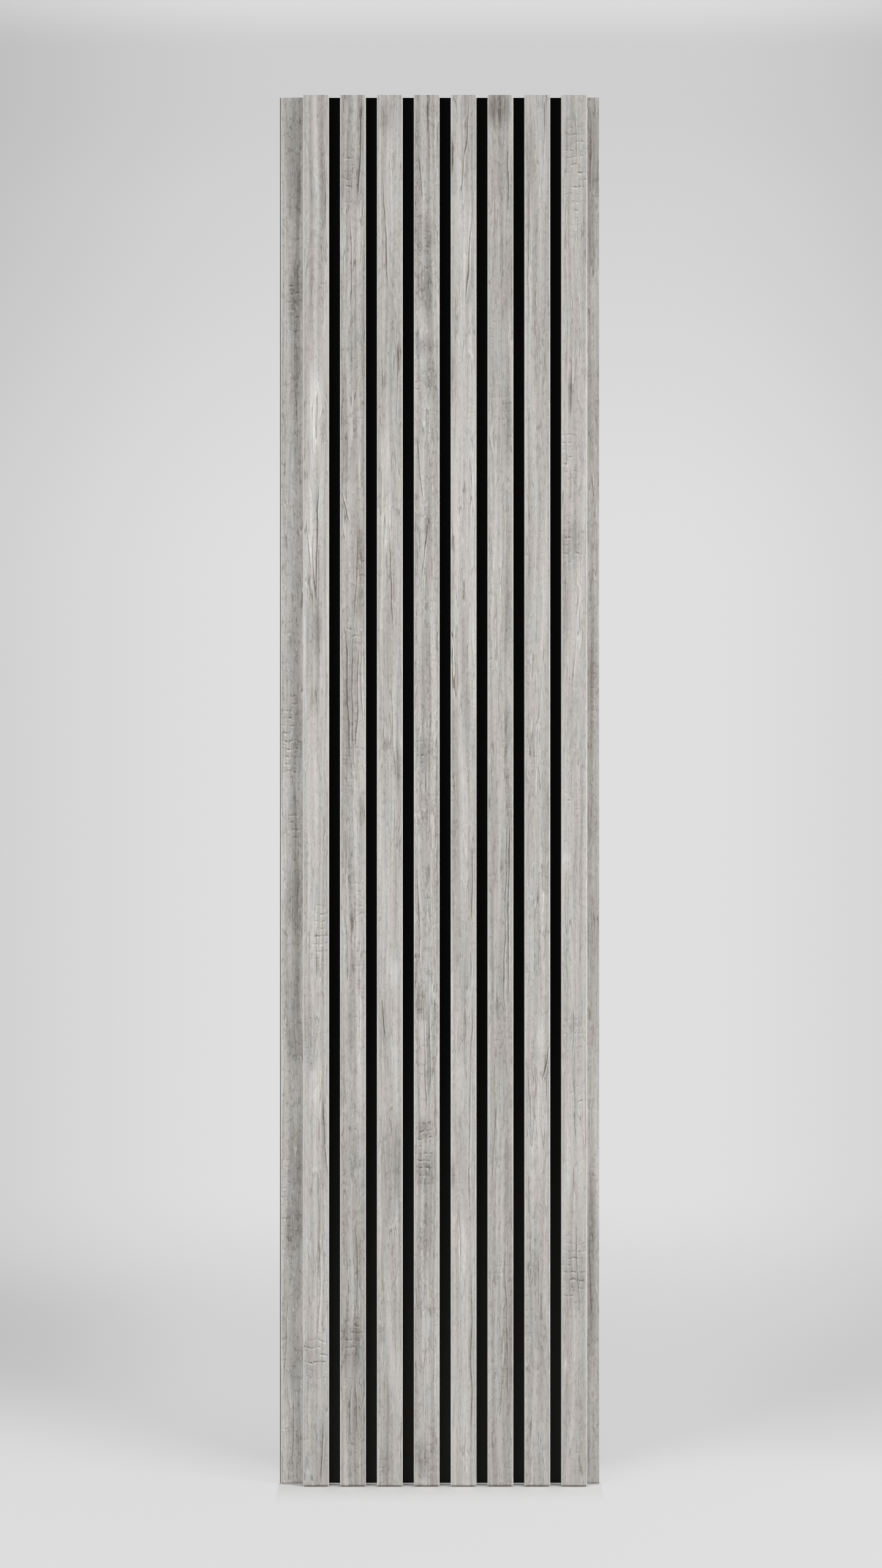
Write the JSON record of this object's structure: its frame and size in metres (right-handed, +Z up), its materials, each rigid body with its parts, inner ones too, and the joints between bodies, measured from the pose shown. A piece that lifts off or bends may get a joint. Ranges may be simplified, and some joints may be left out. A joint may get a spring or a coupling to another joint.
{
  "type": "slatted wall panel",
  "caption": "Tall decorative wall panel with full-height oak-faced slats, narrow black grooves between them and a flat faced margin down each side.",
  "frame": {"origin": "middle of the bottom edge of the flat back face", "axes": "+Z up along the slats, +Y back into the wall out of the back face, +X across the panel to the right as seen from the front; the slats face -Y"},
  "size_m": [0.6, 0.022, 2.6],
  "materials": {
    "slat_decor": "matte",
    "margin_decor": "matte",
    "black_board": "satin"
  },
  "bodies": {
    "root": {"backing_board": "black_board", "edge_strip_left": "margin_decor", "edge_strip_right": "margin_decor", "slat_1": "slat_decor", "slat_2": "slat_decor", "slat_3": "slat_decor", "slat_4": "slat_decor", "slat_5": "slat_decor", "slat_6": "slat_decor", "slat_7": "slat_decor", "slat_8": "slat_decor"}
  },
  "joints": []
}
